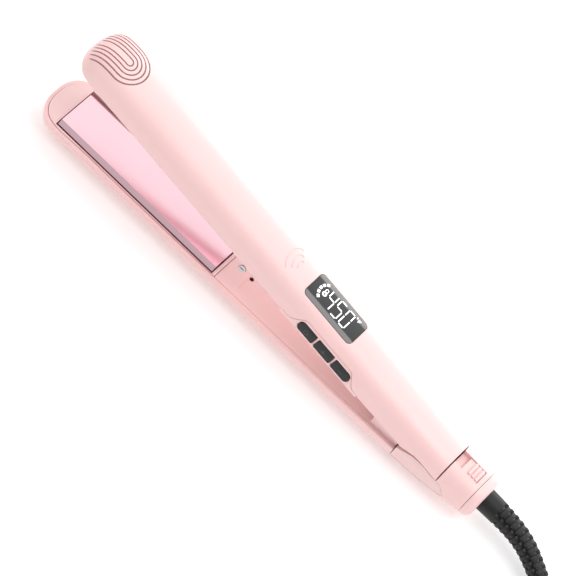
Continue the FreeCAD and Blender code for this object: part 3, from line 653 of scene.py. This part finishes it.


# dark strips along the floors of the five channels over the upper tip
new_piece("groove_floor_strips", mesh_from("groove_floor_strips", groove_floor_strips), "upper_arm", "pink_shell",
          "groove_floor_dark")
new_piece("display_marks", mesh_from("display_marks", display_marks), "upper_arm", "white_mark",
          "lit_white")
for button_name in BUTTON_MARKS:
    mark_name = button_name.replace("button", "mark")
    body_name = button_name.replace("button", "key")
    new_piece(mark_name, mesh_from(mark_name, button_mark(button_name)), body_name,
              "button_rubber", "button_mark")


# ---------------------------------------------------------------- opening spring
SPRING_STATION = 232.4
SPRING_RADIUS = 3.2
SPRING_WIRE_RADIUS = 0.4
SPRING_TURNS = 6
SPRING_END_TURNS = 0.6
SPRING_WIRE_SIDES = 8
STEPS_PER_TURN = 28


def spring_tube(bm):
    """A compression coil with flattened end turns."""
    low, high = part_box("opening_spring")
    base, rise = low.z / MM + SPRING_WIRE_RADIUS, (high.z - low.z) / MM - 2 * SPRING_WIRE_RADIUS
    steps = SPRING_TURNS * STEPS_PER_TURN
    rings = []
    for step in range(steps + 1):
        turn = step / STEPS_PER_TURN
        share = min(1.0, max(0.0, (turn - SPRING_END_TURNS)
                             / (SPRING_TURNS - 2 * SPRING_END_TURNS)))
        angle = 2 * math.pi * turn
        out = Vector((math.cos(angle), math.sin(angle), 0))
        centre = place(SPRING_STATION, 0, base + rise * share) + out * SPRING_RADIUS * MM
        ring = []
        for side in range(SPRING_WIRE_SIDES):
            around = 2 * math.pi * side / SPRING_WIRE_SIDES
            ring.append(centre + (out * math.cos(around) + Vector((0, 0, math.sin(around))))
                        * SPRING_WIRE_RADIUS * MM)
        rings.append(ring)
    skin_rings(bm, rings)


spring = new_piece("return_spring", mesh_from("return_spring", spring_tube), "lower_arm",
                   "spring_steel", "steel", "opening_spring")
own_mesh(spring)


# ---------------------------------------------------------------- studio
FLOOR_SIZE = 3.0
FLOOR_DROP = 0.0002
DOME_DIM = 0.48
DOME_BRIGHT = 1.28
LIGHT_SIZE = 0.9


def studio_floor():
    data = mesh_from("floor", lambda bm: bmesh.ops.create_grid(bm, x_segments=2, y_segments=2,
                                                               size=FLOOR_SIZE))
    floor = bpy.data.objects.new("floor", data)
    floor.location = (0, 0, -FLOOR_DROP)
    bpy.context.scene.collection.objects.link(floor)
    data.materials.append(materials["floor"])


def area_light(name, direction, distance, power):
    """A square soft light that looks at the iron's middle from a direction."""
    data = bpy.data.lights.new(name, "AREA")
    data.size = LIGHT_SIZE
    data.energy = power
    light = bpy.data.objects.new(name, data)
    towards = Vector(direction).normalized()
    light.location = place(ORIGIN_STATION, 0, 20) + towards * distance
    light.rotation_mode = "QUATERNION"
    light.rotation_quaternion = towards.to_track_quat("Z", "Y")
    bpy.context.scene.collection.objects.link(light)


def studio_world():
    """An even dome that is dimmer on the button side than on the far side."""
    world = bpy.data.worlds.new("studio")
    world.use_nodes = True
    tree = world.node_tree
    background = tree.nodes["Background"]
    background.inputs["Color"].default_value = (1.0, 0.995, 0.99, 1)
    coordinates = tree.nodes.new("ShaderNodeTexCoord")
    split = tree.nodes.new("ShaderNodeSeparateXYZ")
    spread = tree.nodes.new("ShaderNodeMapRange")
    spread.inputs["From Min"].default_value = -0.9
    spread.inputs["From Max"].default_value = 0.9
    spread.inputs["To Min"].default_value = DOME_DIM
    spread.inputs["To Max"].default_value = DOME_BRIGHT
    tree.links.new(coordinates.outputs["Generated"], split.inputs["Vector"])
    tree.links.new(split.outputs["Y"], spread.inputs["Value"])
    tree.links.new(spread.outputs["Result"], background.inputs["Strength"])
    bpy.context.scene.world = world


CAMERA_LEAN = math.radians(34.94)
CAMERA_YAW = math.radians(4.8)
CAMERA_ROLL = math.radians(43.83)
CAMERA_DISTANCE = 2.08
CAMERA_LENS = 268.75
CAMERA_STATION = 148.0
CAMERA_SHIFT = (0.00716, 0.00363)


def studio_camera():
    """A long lens above the button side, rolled so that the iron lies across the frame."""
    back = Vector((math.sin(CAMERA_YAW), -math.sin(CAMERA_LEAN) * math.cos(CAMERA_YAW),
                   math.cos(CAMERA_LEAN) * math.cos(CAMERA_YAW)))
    level = (Vector((1, 0, 0)) - back * back.x).normalized()
    rise = back.cross(level)
    right = math.cos(CAMERA_ROLL) * level + math.sin(CAMERA_ROLL) * rise
    up = math.cos(CAMERA_ROLL) * rise - math.sin(CAMERA_ROLL) * level
    aim = place(CAMERA_STATION, 0, PIVOT.z / MM)
    aim += right * CAMERA_SHIFT[0] + up * CAMERA_SHIFT[1]
    data = bpy.data.cameras.new("camera")
    data.lens = CAMERA_LENS
    data.sensor_width = 36.0
    data.clip_end = 20.0
    camera = bpy.data.objects.new("camera", data)
    turn = Matrix((right, up, back)).transposed().to_4x4()
    camera.matrix_world = Matrix.Translation(aim + back * CAMERA_DISTANCE) @ turn
    bpy.context.scene.collection.objects.link(camera)
    bpy.context.scene.camera = camera


studio_floor()
studio_world()
area_light("key", (0.35, 1.0, 0.42), 1.5, 7.0)
area_light("top", (0.45, 0.0, 0.9), 1.6, 7.6)
studio_camera()
bpy.context.scene.view_settings.view_transform = "Standard"
